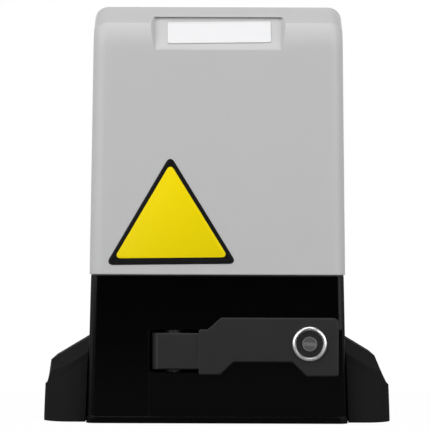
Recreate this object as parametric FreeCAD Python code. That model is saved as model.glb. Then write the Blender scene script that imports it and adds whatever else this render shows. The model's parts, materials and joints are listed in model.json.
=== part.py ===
"""Sliding gate motor: an oil-bath worm gearmotor under a plastic cover.

Frame: X runs along the gate, +Y points at the gate (the pinion side), +Z is up.
The origin is the centre of the underside, which is the centre of the four base bolts.
All lengths are in millimetres.
"""
import FreeCAD, Part
import math
import os

V = FreeCAD.Vector

# ---------------------------------------------------------------- driving dimensions
# Cast body
body_half_width = 100.0
body_half_depth = 84.0
body_height = 114.0
body_draft_x = 2.5          # how far each side leans in from floor to top
body_draft_y = 2.0
body_corner_r = 6.0
body_wall = 5.0
body_floor = 8.0
rim_height = 5.0
rim_proud = 0.8

# Shallow relief on the front face, behind the release lever
relief_side = 18.5          # from the output shaft's axis to its left edge
relief_depth = 2.8          # measured from the front face at the floor

# Feet and base bolts
foot_length = 26.0          # how far the feet stick out of the body
foot_half_depth = 58.0
foot_thickness = 10.0
foot_root = 12.0            # how far foot and ribs run on inside the body's side
foot_corner_r = 8.0
bolt_edge_x = 11.0          # from the end of a foot in to its bolts
bolt_edge_y = 16.0
bolt_hole_r = 5.5
rib_thickness = 6.0
rib_height = 30.0
rib_edge = 8.0              # from the corner of a foot in to the middle of its outer rib
rib_toe = 4.0

# Top cover
cover_gap = 0.3             # seam between cover and body
cover_set_in_x = 1.3        # how far the cover's foot lies inside the body's foot
cover_set_in_y = 0.5
cover_side_lean = 2.6       # lean of each side from bottom to top
cover_back_lean = 4.5
cover_height = 322.7
cover_crown_drop = 23.5     # from the top down to the middle of the front face's crown
cover_crown_lean = 4.2      # lean of the front face up to there
cover_crown_r = 36.0
cover_fold_drop = 14.2      # from the top down to the fold
cover_fold_lean = 10.0      # from the front down to the fold, at the body's edge
cover_crest_run = 25.5      # from the fold back to the flat crest
cover_corner_r = 10.5
cover_wall = 3.0
seam_step = 1.0             # step at the body's rim that holds the seal
seal_inset_out = 0.2
seal_inset_in = 2.0
gate_mark_r = 2.5           # small round mark on the middle of the crest
gate_mark_height = 0.9
gate_mark_y = 8.0

# Inclined name plate recess in the crest of the cover
pad_half_width = 49.0
pad_drop = 34.6             # from the top of the cover down to where the recess leaves the front face
pad_top_drop = 9.0          # from the top of the cover down to the upper edge of the recess
pad_lean = 35.0             # degrees from vertical
pad_side_draft = 0.40       # side walls open by this much per unit of depth
pad_sweep_r = 26.0          # rounding where the floor runs out into the front face
pad_room = 30.0             # how far the cutting tool reaches out in front
pad_corner_r = 1.5

# Cover screws, one each side
cover_screw_y = 0.0
cover_screw_rise = 7.0      # above the top of the body
cover_screw_r = 2.5
cover_screw_head_r = 4.2
cover_screw_head = 2.6
cover_screw_length = 12.0
lug_gap = 0.4               # between the cover and the lug that its screw bites into
lug_thickness = 8.5
lug_half_width = 8.0

# Foot covers ("wings")
wing_margin_y = 14.0        # from the foot's corner to the front of its cover
wing_margin_x = 9.0
wing_outer_lean = 1.5
wing_corner_r = 22.0
wing_wall = 2.5
wing_gap = 0.8
wing_crest_height = 65.0    # crest line where it meets the body
wing_ridge_height = 54.0    # front ridge where it meets the body
wing_skirt_height = 48.0    # top of the proud front panel where it meets the body
wing_slope = math.tan(math.radians(31.0))
wing_crest_drop_left = 5.0      # from the outer end in to where each slope meets it
wing_crest_drop_right = 11.5
wing_ridge_drop = 7.4
wing_skirt_drop = 6.0
wing_shoulder_height = 29.0
wing_step = 2.5             # upper hood set back behind the proud panel
wing_crest_run = 27.0       # from the front ridge back to the crest

# Worm and wheel
gear_module = 2.5
wheel_teeth = 30
wheel_face = 22.0
worm_pitch_r = 12.5
worm_turns = 6
gear_play = 0.5
pressure_angle = math.radians(20.0)

# Output shaft, parallel to Y
shaft_x = -33.5
shaft_z = 55.5
shaft_r = 12.5
shaft_front = -14.0
wheel_mid_y = 20.0
chamber_front = 0.0
chamber_back = 48.0
chamber_wall = 6.0
chamber_top = 99.0
chamber_clearance = 4.0
sump_floor = 20.0           # floor of the oil bath beside the wheel
bearing_r = 23.5
bearing_width = 12.0
bearing_lip_r = 15.0
boss_r = 31.0
boss_proud = 2.0            # rear boss, beyond the back of the body
seal_r = 21.0
seal_width = 7.0

# Pinion
pinion_module = 4.0
pinion_teeth = 18
pinion_width = 30.0
pinion_gap = 2.0
key_width = 8.0
key_height = 7.0

# Clearances
running = 0.05              # radial, between parts that turn or slide in each other
seat = 0.02                 # radial, between parts that are fitted together
touch = 0.1                 # between faces that rest on each other
screw_play = 0.3            # radial, round the shank or head of a screw

# Release mechanism
lever_pivot_depth = 8.0     # pivot, behind the front of the body
lever_pin_r = 3.0
pivot_boss = 11.0           # height of the bosses above and below the slot
pivot_boss_r = 9.0
pivot_pin_grip = 8.0
lever_hub_r = 6.0
cam_low_r = 12.0
release_travel = 5.0
block_r = 17.0
block_proud = 3.0           # lever's block, beyond the front of the body
block_bottom = 41.6
block_top = 69.4
slot_bottom = 39.3
slot_top = 71.8
slot_side = 21.5            # from the output shaft's axis to the slot's right edge
plate_proud = 4.0
plate_sunk = 1.0            # back of the plate, inside the body's front
plate_start = 19.4          # from the output shaft's axis to the plate's left edge
plate_right = 93.2
plate_bottom = 37.0
plate_top = 81.4
plate_bevel = 0.9
grip_depth = 10.3           # finger notch cut up into the lower edge
rod_r = 6.0
rod_slug_gap = 0.2

# Clutch inside the wheel hub
hub_r = 23.0
hub_back = 44.5
clutch_y = 34.0
clutch_pin_r = 4.0
clutch_pin_half = 19.0
clutch_play = 0.15
slug_half = 7.0
spring_room = 25.0          # from the slug back to the end of the shaft's bore

# Lock in the lever
lock_edge = 22.3            # lock's axis, from the right end of the plate
lock_z = 61.5
bezel_r = 13.4
bezel_inner_r = 10.4
bezel_proud = 2.6
barrel_r = 9.0
plug_r = 5.7
front_wall = 6.7            # thickness that the tongue catches behind
tongue_thickness = 3.0
tongue_reach = 15.0
tongue_width = 8.0
swing_room = 2.0            # extra width that the lock needs as the lever swings out
tongue_room = 1.0

# Motor
stator_r = 55.0
stator_height = 60.0
stator_bottom = 128.0
winding_height = 13.0
tie_bolt_circle_r = stator_r - 6.0
rotor_r = 27.0
air_gap = 0.6
worm_shaft_r = 6.0
motor_shaft_r = 7.5
lid_thickness = 9.0
gasket_thickness = 1.0
lower_bearing_r = 16.0
lower_bearing_width = 10.0
upper_bearing_r = 17.5
upper_bearing_width = 11.0
top_bearing_r = 16.0

lid_screw_r = 2.5
lid_screw_grip = 14.0
lid_screw_head_r = 4.2
lid_screw_head = 5.0

# Cable entry in the floor, screws of the foot covers and of the pinion guard
cable_x = 70.0
cable_y = 20.0
gland_r = 14.0
cable_r = 9.0
wing_screw_in = 19.0        # from the end of a foot in to the screws of its cover
wing_screw_y = 20.0
wing_screw_r = 1.5
wing_screw_grip = 14.0
wing_screw_head_r = 3.4
wing_screw_head_top = 3.2
wing_post_r = 5.0
guard_reach = 50.0
guard_drop = 10.0
guard_screw_r = 2.0
guard_screw_grip = 9.0
guard_ear = 3.5
tray_screw_grip = 11.0

# Electronics
tray_depth = 30.0           # its front, behind the front of the body
tray_thickness = 3.0
tray_half_width = 84.0
tray_top = 275.0
pillar_x = 74.0             # the two pillars of the body that carry it
pillar_half_x = 7.0
pillar_screw_depth = 14.0   # their screws, behind the front of the body
pillar_half_y = 8.0
pillar_height = 30.0
pillar_screw_r = 2.0
foot_bar_thickness = 3.0
board_half_width = 78.0
board_bottom = 140.0
board_top = 272.0
board_thickness = 1.6
board_standoff = 3.0
board_hole_inset = 6.0
button_x = 40.0
button_z = 244.0
trimmer_xs = (6.0, 20.0)
trimmer_z = 244.0
capacitor_r = 17.5
capacitor_y = -31.0
capacitor_z = 246.0

# Limit switch
limit_depth = 8.0           # its pin, inside the back of the body
limit_rise = 15.5           # its middle, above the top of the body
limit_arm_over = 8.0        # how far the arm reaches beyond the pinion
limit_half_width = 18.0
limit_half_height = 14.5
limit_pin_r = 1.5
limit_pin_back = 9.5        # from the front wall of its housing to the pin
limit_wall = 2.0
limit_foot_width = 10.0
limit_proud = 2.0           # housing, beyond the back of the cover

# ---------------------------------------------------------------- derived places
wall_front = -body_half_depth
foot_reach = body_half_width + foot_length
bolt_x = foot_reach - bolt_edge_x
bolt_y = foot_half_depth - bolt_edge_y
cover_half_width = body_half_width - cover_set_in_x
cover_half_width_top = cover_half_width - cover_side_lean
cover_front = body_half_depth - cover_set_in_y
cover_back = cover_front
cover_top_back = cover_back - cover_back_lean
cover_bottom = body_height + cover_gap
cover_fold_front = cover_front - cover_fold_lean
cover_fold_height = cover_height - cover_fold_drop
cover_crest_front = cover_fold_front - cover_crest_run
cover_screw_z = body_height + cover_screw_rise
wing_front = foot_half_depth + wing_margin_y
wing_outer = foot_reach + wing_margin_x
wing_outer_top = wing_outer - wing_outer_lean
wing_crest_reach_left = wing_outer - wing_crest_drop_left
wing_crest_reach_right = wing_outer - wing_crest_drop_right
wing_ridge_reach = wing_outer - wing_ridge_drop
wing_skirt_reach = wing_outer - wing_skirt_drop
relief_left = shaft_x - relief_side
relief_top = slot_top
slot_right = shaft_x + slot_side
boss_face = body_half_depth + boss_proud
pinion_front = boss_face + pinion_gap
pinion_back = pinion_front + pinion_width
shaft_back = pinion_back
lever_pivot_y = wall_front + lever_pivot_depth
block_front = wall_front - block_proud
plate_front = wall_front - plate_proud
plate_back = wall_front + plate_sunk
plate_left = shaft_x + plate_start
lock_x = plate_right - lock_edge
tongue_front = wall_front + front_wall + touch
rod_back = clutch_y - slug_half - rod_slug_gap
bore_back = clutch_y + slug_half + spring_room
tray_front = wall_front + tray_depth
pillar_y = wall_front + pillar_screw_depth
limit_x = shaft_x
limit_y = body_half_depth - limit_depth
limit_z = body_height + limit_rise
limit_front = limit_y - limit_pin_back
limit_bottom = limit_z - limit_half_height
limit_top = limit_z + limit_half_height
limit_arm_end = pinion_back + limit_arm_over
worm_x = shaft_x + gear_module * wheel_teeth / 2 + worm_pitch_r
wheel_tip_r = gear_module * wheel_teeth / 2 + gear_module
worm_tip_r = worm_pitch_r + gear_module
chamber_left = shaft_x - wheel_tip_r - chamber_clearance
chamber_right = worm_x + worm_tip_r + chamber_clearance
chamber_outer_left = chamber_left - chamber_wall
chamber_outer_right = chamber_right + chamber_wall
lid_bottom = chamber_top + gasket_thickness
lid_top = lid_bottom + lid_thickness
stator_top = stator_bottom + stator_height
motor_top = stator_top + winding_height + 15.0


# ---------------------------------------------------------------- shape helpers
def box(x0, x1, y0, y1, z0, z1):
    return Part.makeBox(x1 - x0, y1 - y0, z1 - z0, V(x0, y0, z0))


def rod_x(y, z, r, x0, x1):
    return Part.makeCylinder(r, x1 - x0, V(x0, y, z), V(1, 0, 0))


def rod_y(x, z, r, y0, y1):
    return Part.makeCylinder(r, y1 - y0, V(x, y0, z), V(0, 1, 0))


def rod_z(x, y, r, z0, z1):
    return Part.makeCylinder(r, z1 - z0, V(x, y, z0))


def tube_y(x, z, r_out, r_in, y0, y1):
    return rod_y(x, z, r_out, y0, y1).cut(rod_y(x, z, r_in, y0, y1))


def tube_z(x, y, r_out, r_in, z0, z1):
    return rod_z(x, y, r_out, z0, z1).cut(rod_z(x, y, r_in, z0, z1))


def rounded_wire(corners):
    """Closed wire through (point, radius) corners, with an arc at each corner."""
    edges = []
    ends = []
    count = len(corners)
    for i in range(count):
        point, radius = corners[i]
        before = (corners[i - 1][0] - point).normalize()
        after = (corners[(i + 1) % count][0] - point).normalize()
        if radius <= 0:
            ends.append((point, point))
            continue
        half = before.getAngle(after) / 2
        reach = radius / math.tan(half)
        start = point + before * reach
        end = point + after * reach
        centre = point + (before + after).normalize() * (radius / math.sin(half))
        middle = centre + (point - centre).normalize() * radius
        ends.append((start, end))
        edges.append(Part.Arc(start, middle, end).toShape())
    for i in range(count):
        a = ends[i][1]
        b = ends[(i + 1) % count][0]
        if a.distanceToPoint(b) > 1e-6:
            edges.append(Part.LineSegment(a, b).toShape())
    return Part.Wire(Part.__sortEdges__(edges))


def rectangle_wire(x0, x1, y0, y1, z, r):
    points = [V(x0, y0, z), V(x1, y0, z), V(x1, y1, z), V(x0, y1, z)]
    return rounded_wire([(p, r) for p in points])


def prism_xz(points, y0, y1, radius=0.0):
    """Outline given as (x, z) points, extruded from y0 to y1."""
    wire = rounded_wire([(V(x, y0, z), radius) for x, z in points])
    return Part.Face(wire).extrude(V(0, y1 - y0, 0))


def prism_xy(points, z0, z1, radius=0.0):
    """Outline given as (x, y) points, extruded from z0 to z1."""
    wire = rounded_wire([(V(x, y, z0), radius) for x, y in points])
    return Part.Face(wire).extrude(V(0, 0, z1 - z0))


def prism_yz(points, x0, x1, radius=0.0):
    """Outline given as (y, z) points, extruded from x0 to x1."""
    wire = rounded_wire([(V(x0, y, z), radius) for y, z in points])
    return Part.Face(wire).extrude(V(x1 - x0, 0, 0))


def fuse(first, *others):
    shape = first.fuse(list(others))
    return shape.removeSplitter()


def cut(shape, *tools):
    return shape.cut(list(tools))


def gear_wire(teeth, module, play, y, turn):
    """Straight-flanked gear outline about the Y axis, with a tooth centred on +X."""
    pitch_r = teeth * module / 2
    root_r = pitch_r - 1.25 * module
    tip_r = pitch_r + module
    half = math.pi * module / 4 - play / 2
    points = []
    for i in range(teeth):
        middle = 2 * math.pi * i / teeth + turn
        for r, side in ((root_r, -1), (tip_r, -1), (tip_r, 1), (root_r, 1)):
            width = half - math.tan(pressure_angle) * (r - pitch_r)
            angle = middle + side * width / r
            points.append(V(r * math.cos(angle), y, -r * math.sin(angle)))
    return Part.makePolygon(points + [points[0]])


def save(name, *solids):
    found = []
    for shape in solids:
        found.extend(shape.Solids)
    shape = found[0] if len(found) == 1 else Part.makeCompound(found)
    shape.exportStep(os.path.join("parts", name + ".step"))


# ---------------------------------------------------------------- cast body
def body_section(z, inset=0.0):
    """Outline of the tapering body at one height."""
    share = z / body_height
    half_x = body_half_width - body_draft_x * share - inset
    half_y = body_half_depth - body_draft_y * share - inset
    return rectangle_wire(-half_x, half_x, -half_y, half_y, z, max(body_corner_r - inset, 1.5))


def body_form(z0, z1, inset=0.0):
    return Part.makeLoft([body_section(z0, inset), body_section(z1, inset)], True, True)


def body_side_x(z):
    return body_half_width - body_draft_x * z / body_height


def foot(side):
    """Cast flange on one side, with ribs up to the body and two bolt holes."""
    x_in = side * (body_half_width - foot_root)
    x_out = side * foot_reach
    plate = box(min(x_in, x_out), max(x_in, x_out), -foot_half_depth, foot_half_depth, 0, foot_thickness)
    corner = [e for e in plate.Edges if abs(e.BoundBox.XLength) < 1e-6 and abs(e.BoundBox.YLength) < 1e-6
              and abs(abs(e.BoundBox.XMin) - foot_reach) < 1e-6]
    plate = plate.makeFillet(foot_corner_r, corner)
    ribs = []
    x_toe = x_out - side * rib_toe
    for y in (-foot_half_depth + rib_edge, 0, foot_half_depth - rib_edge):
        points = [(x_in, foot_thickness - 1), (x_toe, foot_thickness - 1), (x_toe, foot_thickness + 2),
                  (side * body_half_width, rib_height), (x_in, rib_height)]
        ribs.append(prism_xz(points, y - rib_thickness / 2, y + rib_thickness / 2))
    shape = fuse(plate, *ribs)
    return cut(shape, *[rod_z(side * bolt_x, y, bolt_hole_r, -1, foot_thickness + 1) for y in (-bolt_y, bolt_y)])


def wing_screw_places():
    return [(side * (foot_reach - wing_screw_in), y) for side in (-1, 1) for y in (-wing_screw_y, wing_screw_y)]


def gear_case():
    """Oil bath round the wheel and worm, with its front and rear bearing bosses."""
    front = chamber_front - bearing_width - 4
    case = box(chamber_outer_left, chamber_outer_right, chamber_front - chamber_wall,
               chamber_back + chamber_wall, body_floor - 1, chamber_top)
    front_boss = rod_y(shaft_x, shaft_z, boss_r, front, chamber_front)
    return fuse(case, front_boss)


def gear_case_cuts():
    """What is bored out of the gear case."""
    worm_seat = lower_bearing_r + seat
    return [
        box(chamber_left, chamber_right, chamber_front, chamber_back, sump_floor, chamber_top + 1),
        rod_y(shaft_x, shaft_z, wheel_tip_r + chamber_clearance, chamber_front, chamber_back),
        rod_y(shaft_x, shaft_z, bearing_r + seat, chamber_front - bearing_width, chamber_front),
        rod_y(shaft_x, shaft_z, bearing_r + seat, chamber_back, chamber_back + bearing_width),
        rod_y(shaft_x, shaft_z, bearing_lip_r, chamber_front - bearing_width - 5, boss_face + 1),
        rod_y(shaft_x, shaft_z, seal_r + seat, boss_face - seal_width, boss_face + 1),
        rod_z(worm_x, wheel_mid_y, worm_seat, sump_floor - lower_bearing_width, sump_floor + 1),
    ]


def lid_screw_places():
    x0 = (chamber_left + chamber_outer_left) / 2
    x1 = (chamber_right + chamber_outer_right) / 2
    xm = (x0 + x1) / 2
    y0 = chamber_front - chamber_wall / 2
    y1 = chamber_back + chamber_wall / 2
    return [(x, y) for x in (x0, xm, x1) for y in (y0, y1)]


def cover_lug(side):
    """Upright lug inside the cover that its side screw bites into."""
    outer = cover_half_width - cover_wall - lug_gap
    inner = outer - lug_thickness
    z1 = cover_screw_z + lug_half_width
    lug = box(inner, outer, cover_screw_y - lug_half_width, cover_screw_y + lug_half_width,
              body_height - 2 * lug_half_width, z1)
    return lug if side > 0 else lug.mirror(V(0, 0, 0), V(1, 0, 0))


def tray_pillar(x):
    return box(x - pillar_half_x, x + pillar_half_x, wall_front + 1, pillar_y + pillar_half_y,
               body_height - pillar_height, body_height - touch)


def guard_screw_places():
    return [(shaft_x - guard_reach, shaft_z - guard_drop), (shaft_x + guard_reach, shaft_z - guard_drop)]


def lock_opening():
    """Hole and notch in the front wall that the lock and its tongue swing through."""
    y0 = wall_front - 2
    y1 = wall_front + front_wall
    hole_r = barrel_r + touch + swing_room
    notch_half = tongue_width / 2 + tongue_room
    hole = rod_y(lock_x, lock_z, hole_r, y0, y1)
    notch = box(lock_x - tongue_reach - tongue_room, lock_x, y0, y1, lock_z - notch_half, lock_z + notch_half)
    return hole.fuse(notch)


def base_housing():
    shell = body_form(0, body_height).fuse(body_form(0, rim_height, -rim_proud))
    seal_step = cut(body_form(body_height - seam_step, body_height + 1, -1),
                    body_form(body_height - seam_step - 1, body_height + 2, seal_inset_in))
    shell = cut(shell, seal_step)
    cavity = body_form(body_floor, body_height, body_wall)
    cavity = cavity.fuse(body_form(body_height - 1, body_height + 1, body_wall))
    shell = cut(shell, cavity)
    inside = body_form(0, body_height, body_wall - 1)
    rear_boss = rod_y(shaft_x, shaft_z, boss_r, chamber_back, boss_face)
    shell = shell.fuse([gear_case().common(inside), rear_boss])
    pillars = [tray_pillar(x) for x in (-pillar_x, pillar_x)]
    bosses = [box(shaft_x - pivot_boss_r, shaft_x + pivot_boss_r, wall_front + 1, lever_pivot_y + pivot_boss_r, z0, z1)
              for z0, z1 in ((slot_bottom - pivot_boss, slot_bottom), (slot_top, slot_top + pivot_boss))]
    lugs = [cover_lug(-1), cover_lug(1)]
    inner_form = body_form(0, body_height, seal_inset_in)
    shell = shell.fuse([b.common(inner_form) for b in pillars + bosses] + lugs + [foot(-1), foot(1)])
    relief_y = wall_front + relief_depth
    front = wall_front - body_corner_r
    cuts = gear_case_cuts()
    cuts.append(box(relief_left, body_half_width + body_corner_r, front, relief_y, rim_height, relief_top))
    cuts.append(box(relief_left, slot_right, front, lever_pivot_y, slot_bottom, slot_top))
    cuts.append(rod_z(shaft_x, lever_pivot_y, lever_pin_r + seat, slot_bottom - pivot_pin_grip,
                      slot_top + pivot_boss + 1))
    cuts.append(lock_opening())
    cuts.append(rod_z(cable_x, cable_y, gland_r + seat, -1, body_floor + 1))
    for x, y in lid_screw_places():
        cuts.append(rod_z(x, y, lid_screw_r + seat, chamber_top - lid_screw_grip - 2, chamber_top + 1))
    for x in (-pillar_x, pillar_x):
        cuts.append(rod_z(x, pillar_y, pillar_screw_r + seat, body_height - tray_screw_grip - 1, body_height + 1))
    cuts.append(rod_x(cover_screw_y, cover_screw_z, cover_screw_r + seat, -body_half_width, body_half_width))
    for x, y in wing_screw_places():
        cuts.append(rod_z(x, y, wing_screw_r + 0.5, -1, foot_thickness + 2))
        cuts.append(rod_z(x, y, wing_screw_head_r + 0.2, -1, wing_screw_head_top + touch))
    for x, z in guard_screw_places():
        cuts.append(rod_y(x, z, guard_screw_r + seat, body_half_depth - guard_screw_grip - 1, body_half_depth + 1))
    return cut(shell, *cuts).removeSplitter()


def cover_seal():
    return cut(body_form(body_height - seam_step + touch, cover_bottom - touch, seal_inset_out),
               body_form(body_height - seam_step - 1, body_height + 2, seal_inset_in - touch))


# ---------------------------------------------------------------- gearbox lid
def lid_outline(z0, z1):
    x0 = chamber_outer_left
    x1 = chamber_outer_right
    y0 = chamber_front - chamber_wall
    y1 = chamber_back + chamber_wall
    return prism_xy([(x0, y0), (x1, y0), (x1, y1), (x0, y1)], z0, z1, 5)


def lid_holes(shape, z0, z1, r):
    return cut(shape, *[rod_z(x, y, r, z0 - 1, z1 + 1) for x, y in lid_screw_places()])


def gearbox_gasket():
    ring = lid_outline(chamber_top + touch, lid_bottom - touch)
    window = box(chamber_left, chamber_right, chamber_front, chamber_back, chamber_top - 1, lid_bottom + 1)
    return lid_holes(cut(ring, window), chamber_top, lid_bottom, lid_screw_r + screw_play)


def gearbox_lid():
    """Lid of the oil bath: carries the upper worm bearing and the motor."""
    plate = lid_outline(lid_bottom, lid_top)
    flange = rod_z(worm_x, wheel_mid_y, stator_r + 1, lid_top - 6, lid_top)
    hub = rod_z(worm_x, wheel_mid_y, upper_bearing_r + 5, lid_bottom - 6, lid_bottom + 1)
    window = box(chamber_left + 1, chamber_right - 1, chamber_front + 1, chamber_back - 1,
                 chamber_top - 20, lid_bottom + 1)
    shape = fuse(plate, flange, hub.common(window))
    seat_bottom = lid_top - upper_bearing_width
    shape = cut(shape, rod_z(worm_x, wheel_mid_y, upper_bearing_r + seat, seat_bottom, lid_top + 1),
                rod_z(worm_x, wheel_mid_y, upper_bearing_r - 4, chamber_top - 20, lid_top))
    sunk = [rod_z(x, y, lid_screw_head_r + screw_play, lid_top - lid_screw_head - touch, lid_top + 1)
            for x, y in lid_screw_places()]
    return lid_holes(cut(shape, *sunk), lid_bottom, lid_top, lid_screw_r + screw_play)


def gearbox_screws():
    """Cap screws sunk below the face that the motor stands on."""
    screws = []
    for x, y in lid_screw_places():
        head = rod_z(x, y, lid_screw_head_r, lid_top - lid_screw_head, lid_top - 0.6)
        recess = Part.makePolygon([V(x + 2.3 * math.cos(math.pi * k / 3), y + 2.3 * math.sin(math.pi * k / 3),
                                     lid_top - 3) for k in range(7)])
        head = head.cut(Part.Face(recess).extrude(V(0, 0, 5)))
        shank = rod_z(x, y, lid_screw_r, chamber_top - lid_screw_grip, lid_top - lid_screw_head + 0.5)
        screws.append(head.fuse(shank))
    return screws


# ---------------------------------------------------------------- output shaft, wheel and pinion
def ball_bearing_y(x, z, r_out, r_in, y0, y1):
    """Sealed ball bearing: two rings with a shield recess between them on each face."""
    ring = tube_y(x, z, r_out, r_in, y0, y1)
    groove_out = r_out - 0.2 * (r_out - r_in)
    groove_in = r_in + 0.2 * (r_out - r_in)
    return cut(ring, tube_y(x, z, groove_out, groove_in, y0 - 1, y0 + 0.8),
               tube_y(x, z, groove_out, groove_in, y1 - 0.8, y1 + 1))


def ball_bearing_z(x, y, r_out, r_in, z0, z1):
    ring = tube_z(x, y, r_out, r_in, z0, z1)
    groove_out = r_out - 0.2 * (r_out - r_in)
    groove_in = r_in + 0.2 * (r_out - r_in)
    return cut(ring, tube_z(x, y, groove_out, groove_in, z0 - 1, z0 + 0.8),
               tube_z(x, y, groove_out, groove_in, z1 - 0.8, z1 + 1))


def front_bearing():
    return ball_bearing_y(shaft_x, shaft_z, bearing_r, shaft_r + running,
                          chamber_front - bearing_width + touch, chamber_front)


def rear_bearing():
    return ball_bearing_y(shaft_x, shaft_z, bearing_r, shaft_r + running,
                          chamber_back, chamber_back + bearing_width - touch)


def shaft_seal():
    body = tube_y(shaft_x, shaft_z, seal_r, shaft_r + running, boss_face - seal_width + touch, boss_face - 0.5)
    groove = tube_y(shaft_x, shaft_z, seal_r - 3, shaft_r + 1.5, boss_face - 2.5, boss_face)
    return cut(body, groove)


def output_shaft():
    """Hollow at the front for the release rod, slotted across for the clutch pin, keyed at the back."""
    shaft = rod_y(shaft_x, shaft_z, shaft_r, shaft_front, shaft_back)
    bore = rod_y(shaft_x, shaft_z, rod_r + running, shaft_front - 1, bore_back)
    half = clutch_pin_r + clutch_play
    slot = box(shaft_x - half, shaft_x + half, clutch_y, clutch_y + release_travel,
               shaft_z - shaft_r - 1, shaft_z + shaft_r + 1)
    slot_ends = [rod_z(shaft_x, y, half, shaft_z - shaft_r - 1, shaft_z + shaft_r + 1)
                 for y in (clutch_y, clutch_y + release_travel + clutch_play)]
    key_seat = box(shaft_x - key_width / 2, shaft_x + key_width / 2, pinion_front + 1, shaft_back + 1,
                   shaft_z + shaft_r - 4, shaft_z + shaft_r + 1)
    thread = rod_y(shaft_x, shaft_z, 4.0 + seat, shaft_back - 22, shaft_back + 1)
    chamfered = shaft.makeChamfer(1.0, [e for e in shaft.Edges if len(e.Vertexes) == 1])
    return cut(chamfered, bore, slot, *slot_ends, key_seat, thread)


def worm_wheel():
    """Helical wheel, loose on the shaft until the clutch pin lies in the slots of its hub."""
    y0 = wheel_mid_y - wheel_face / 2
    y1 = wheel_mid_y + wheel_face / 2
    lead = gear_module / 2 / worm_pitch_r
    pitch_r = gear_module * wheel_teeth / 2
    twist = lead * wheel_face / 2 / pitch_r
    front = gear_wire(wheel_teeth, gear_module, gear_play, y0, -twist)
    back = gear_wire(wheel_teeth, gear_module, gear_play, y1, twist)
    rim = Part.makeLoft([front, back], True, True)
    rim.translate(V(shaft_x, 0, shaft_z))
    web = 8.0
    for ya, yb in ((y0 - 1, wheel_mid_y - web / 2), (wheel_mid_y + web / 2, y1 + 1)):
        rim = rim.cut(tube_y(shaft_x, shaft_z, pitch_r - 8, hub_r, ya, yb))
    hub = rod_y(shaft_x, shaft_z, hub_r, chamber_front + 6, hub_back)
    wheel = rim.fuse(hub)
    half = clutch_pin_r + clutch_play
    recess_front = clutch_y + 0.2
    cuts = [rod_y(shaft_x, shaft_z, shaft_r + running, chamber_front, hub_back + 1),
            rod_y(shaft_x, shaft_z, clutch_pin_half + 1, recess_front, hub_back + 1),
            rod_z(shaft_x, clutch_y, half, shaft_z - clutch_pin_half - 1, shaft_z + clutch_pin_half + 1)]
    return cut(wheel, *cuts)


def wheel_spacer():
    return tube_y(shaft_x, shaft_z, shaft_r + 4, shaft_r + seat, chamber_front + touch, chamber_front + 6 - touch)


def thrust_washer():
    return tube_y(shaft_x, shaft_z, hub_r, shaft_r + seat, hub_back + touch, chamber_back - touch)


def pinion():
    """Spur pinion that meshes with the rack on the gate."""
    front = gear_wire(pinion_teeth, pinion_module, 0.2, pinion_front, math.pi / 2)
    gear = Part.Face(front).extrude(V(0, pinion_width, 0))
    gear.translate(V(shaft_x, 0, shaft_z))
    tip_r = pinion_module * (pinion_teeth + 2) / 2
    blank = rod_y(shaft_x, shaft_z, tip_r, pinion_front, pinion_back)
    blank = blank.makeChamfer(1.5, [e for e in blank.Edges if len(e.Vertexes) == 1])
    gear = gear.common(blank)
    hub_recess = tube_y(shaft_x, shaft_z, tip_r - 14, shaft_r + 7, pinion_back - 3, pinion_back + 1)
    bore = rod_y(shaft_x, shaft_z, shaft_r + seat, pinion_front - 1, pinion_back + 1)
    key_way = box(shaft_x - key_width / 2 - seat, shaft_x + key_width / 2 + seat, pinion_front - 1,
                  pinion_back + 1, shaft_z, shaft_z + shaft_r - 4 + key_height + touch)
    return cut(gear, hub_recess, bore, key_way)


def pinion_key():
    bottom = shaft_z + shaft_r - 4 + seat
    return box(shaft_x - key_width / 2 + seat, shaft_x + key_width / 2 - seat, pinion_front + 1.5,
               pinion_back - 0.5, bottom, bottom + key_height)


def pinion_bolt():
    """Bolt and washer that hold the pinion on the end of the shaft."""
    washer = tube_y(shaft_x, shaft_z, shaft_r + 4, 4.2, pinion_back + touch, pinion_back + 2.5)
    hexagon = [(shaft_x + 7.5 * math.cos(math.pi * k / 3), shaft_z + 7.5 * math.sin(math.pi * k / 3))
               for k in range(6)]
    head = prism_xz(hexagon, pinion_back + 2.5 + seat, pinion_back + 7.5)
    shank = rod_y(shaft_x, shaft_z, 4.0, shaft_back - 20, pinion_back + 3)
    return [washer, head.fuse(shank)]


def release_rod():
    tip = lever_pivot_y + cam_low_r + 0.3
    rod = rod_y(shaft_x, shaft_z, rod_r, tip + rod_r, rod_back)
    nose = Part.makeSphere(rod_r, V(shaft_x, tip + rod_r, shaft_z))
    return fuse(rod, nose)


def clutch_slug():
    slug = rod_y(shaft_x, shaft_z, rod_r, clutch_y - slug_half, clutch_y + slug_half)
    hole = rod_z(shaft_x, clutch_y, clutch_pin_r + seat, shaft_z - rod_r - 1, shaft_z + rod_r + 1)
    return cut(slug, hole)


def clutch_pin():
    pin = rod_z(shaft_x, clutch_y, clutch_pin_r, shaft_z - clutch_pin_half, shaft_z + clutch_pin_half)
    return pin.makeChamfer(0.8, [e for e in pin.Edges if len(e.Vertexes) == 1])


def coil_spring_y(x, z, r, wire_r, y0, y1, coils):
    """Helical spring about Y, squared off at both ends by a closing ring; the wire is six-sided."""
    ring_half = 1.25 * wire_r
    pitch = (y1 - y0 - 2 * ring_half) / coils
    helix = Part.makeHelix(pitch, pitch * coils, r)
    corners = [V(r + wire_r * math.cos(math.pi * k / 3), 0, wire_r * math.sin(math.pi * k / 3)) for k in range(7)]
    coil = Part.Wire(helix.Edges).makePipeShell([Part.makePolygon(corners)], True, True)
    rings = [tube_z(0, 0, r + ring_half, r - ring_half, end - ring_half, end + ring_half)
             for end in (0, pitch * coils)]
    spring = coil.fuse(rings)
    spring.rotate(V(0, 0, 0), V(1, 0, 0), -90)
    spring.translate(V(x, y0 + ring_half, z))
    return spring


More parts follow.
